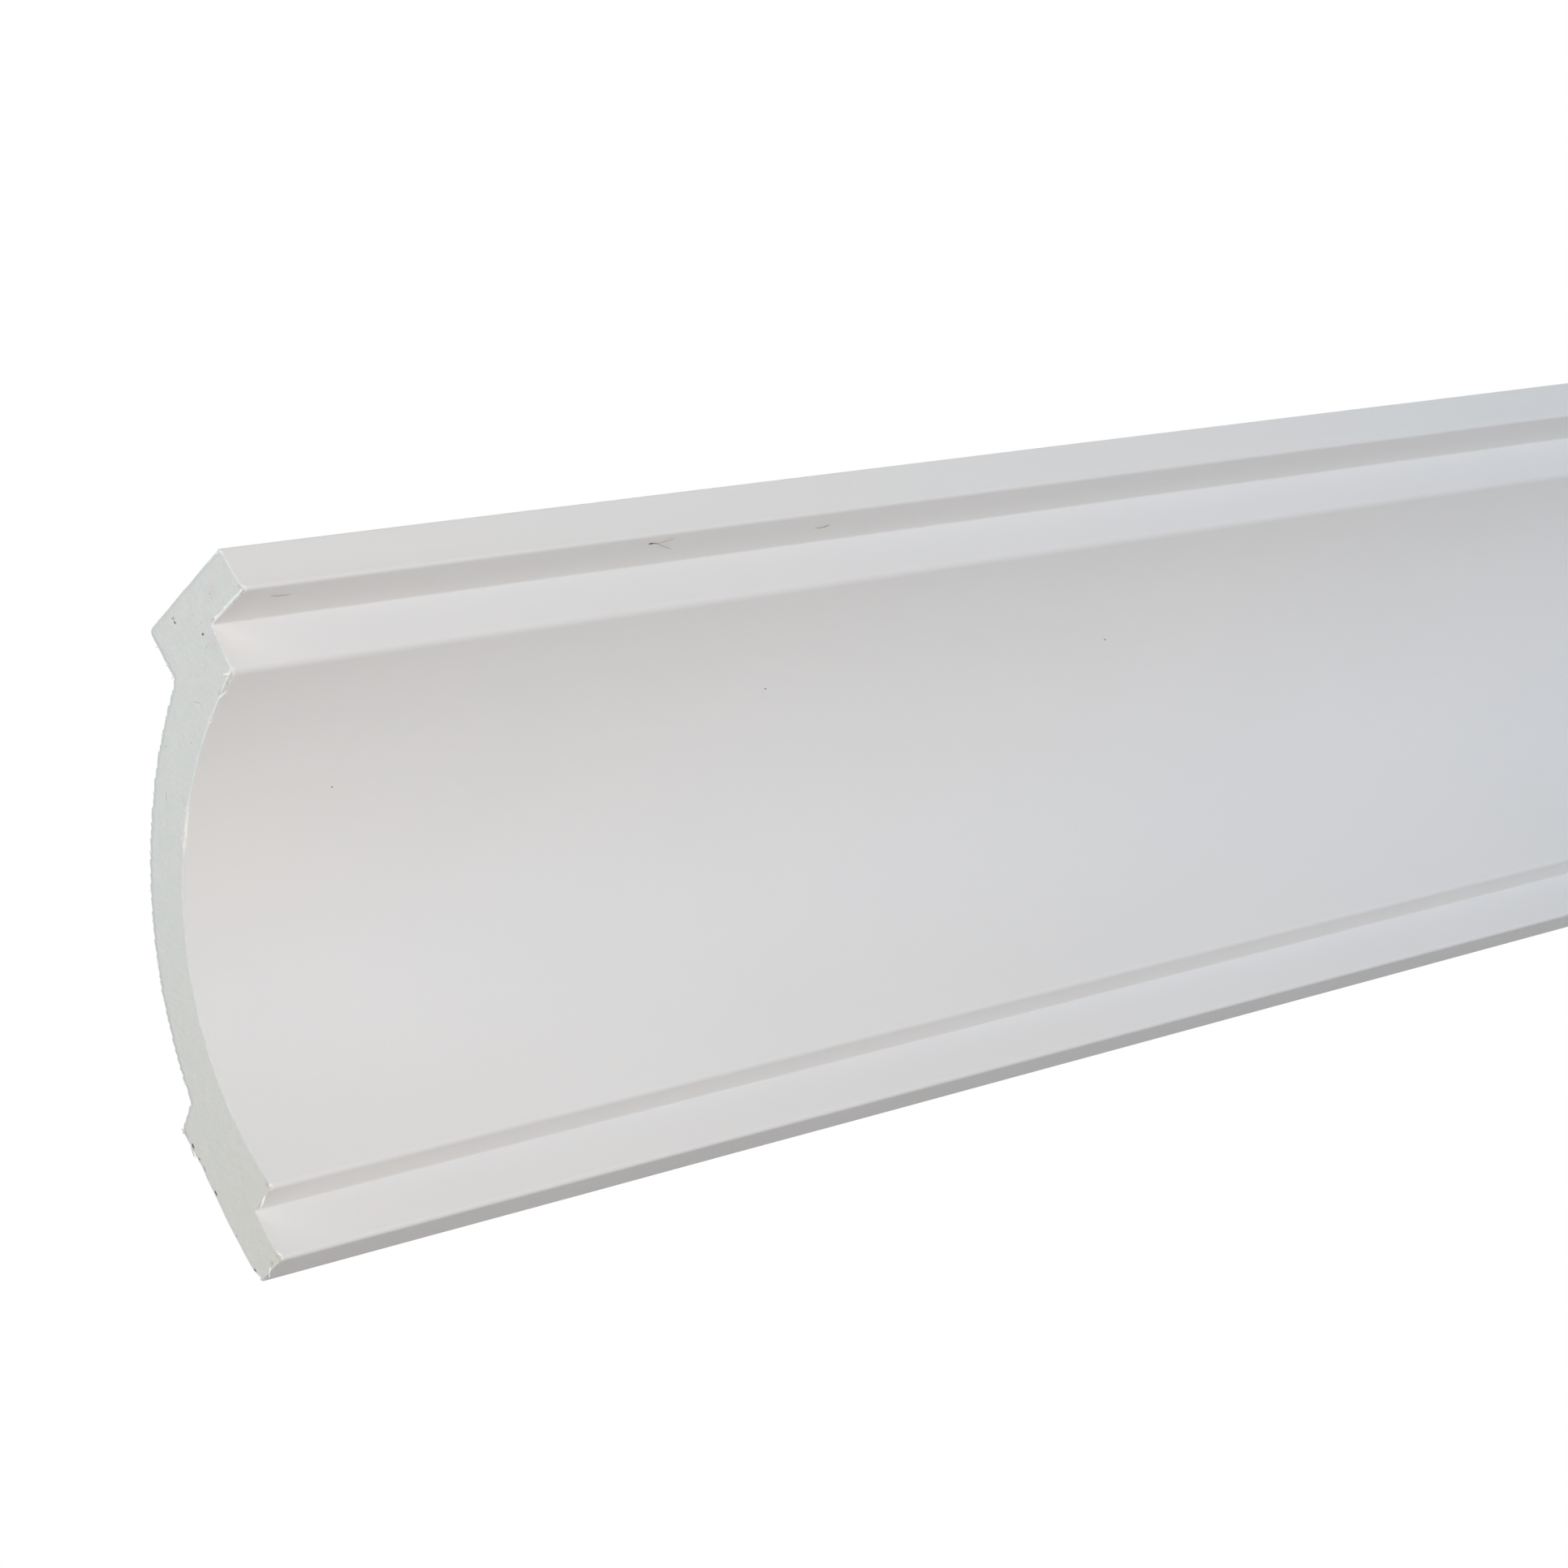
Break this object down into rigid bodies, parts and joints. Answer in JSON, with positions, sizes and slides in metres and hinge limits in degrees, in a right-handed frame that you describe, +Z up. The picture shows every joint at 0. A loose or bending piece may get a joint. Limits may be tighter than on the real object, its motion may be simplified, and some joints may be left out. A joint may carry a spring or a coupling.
{
  "type": "crown moulding length",
  "caption": "Coved crown moulding length with stepped fillets, a hollow back and square-cut ends, glued into the corner of a wall and a ceiling.",
  "frame": {"origin": "centre of the flat that is glued to the wall, at mid-length", "axes": "+X along the moulding, +Y into the wall, +Z up to the ceiling; the moulded face looks towards -Y and down"},
  "size_m": [1, 0.085, 0.1099],
  "materials": {
    "white_skin": "satin",
    "foam_core": "matte"
  },
  "bodies": {
    "root": {"crown_moulding": "white_skin"}
  },
  "joints": []
}
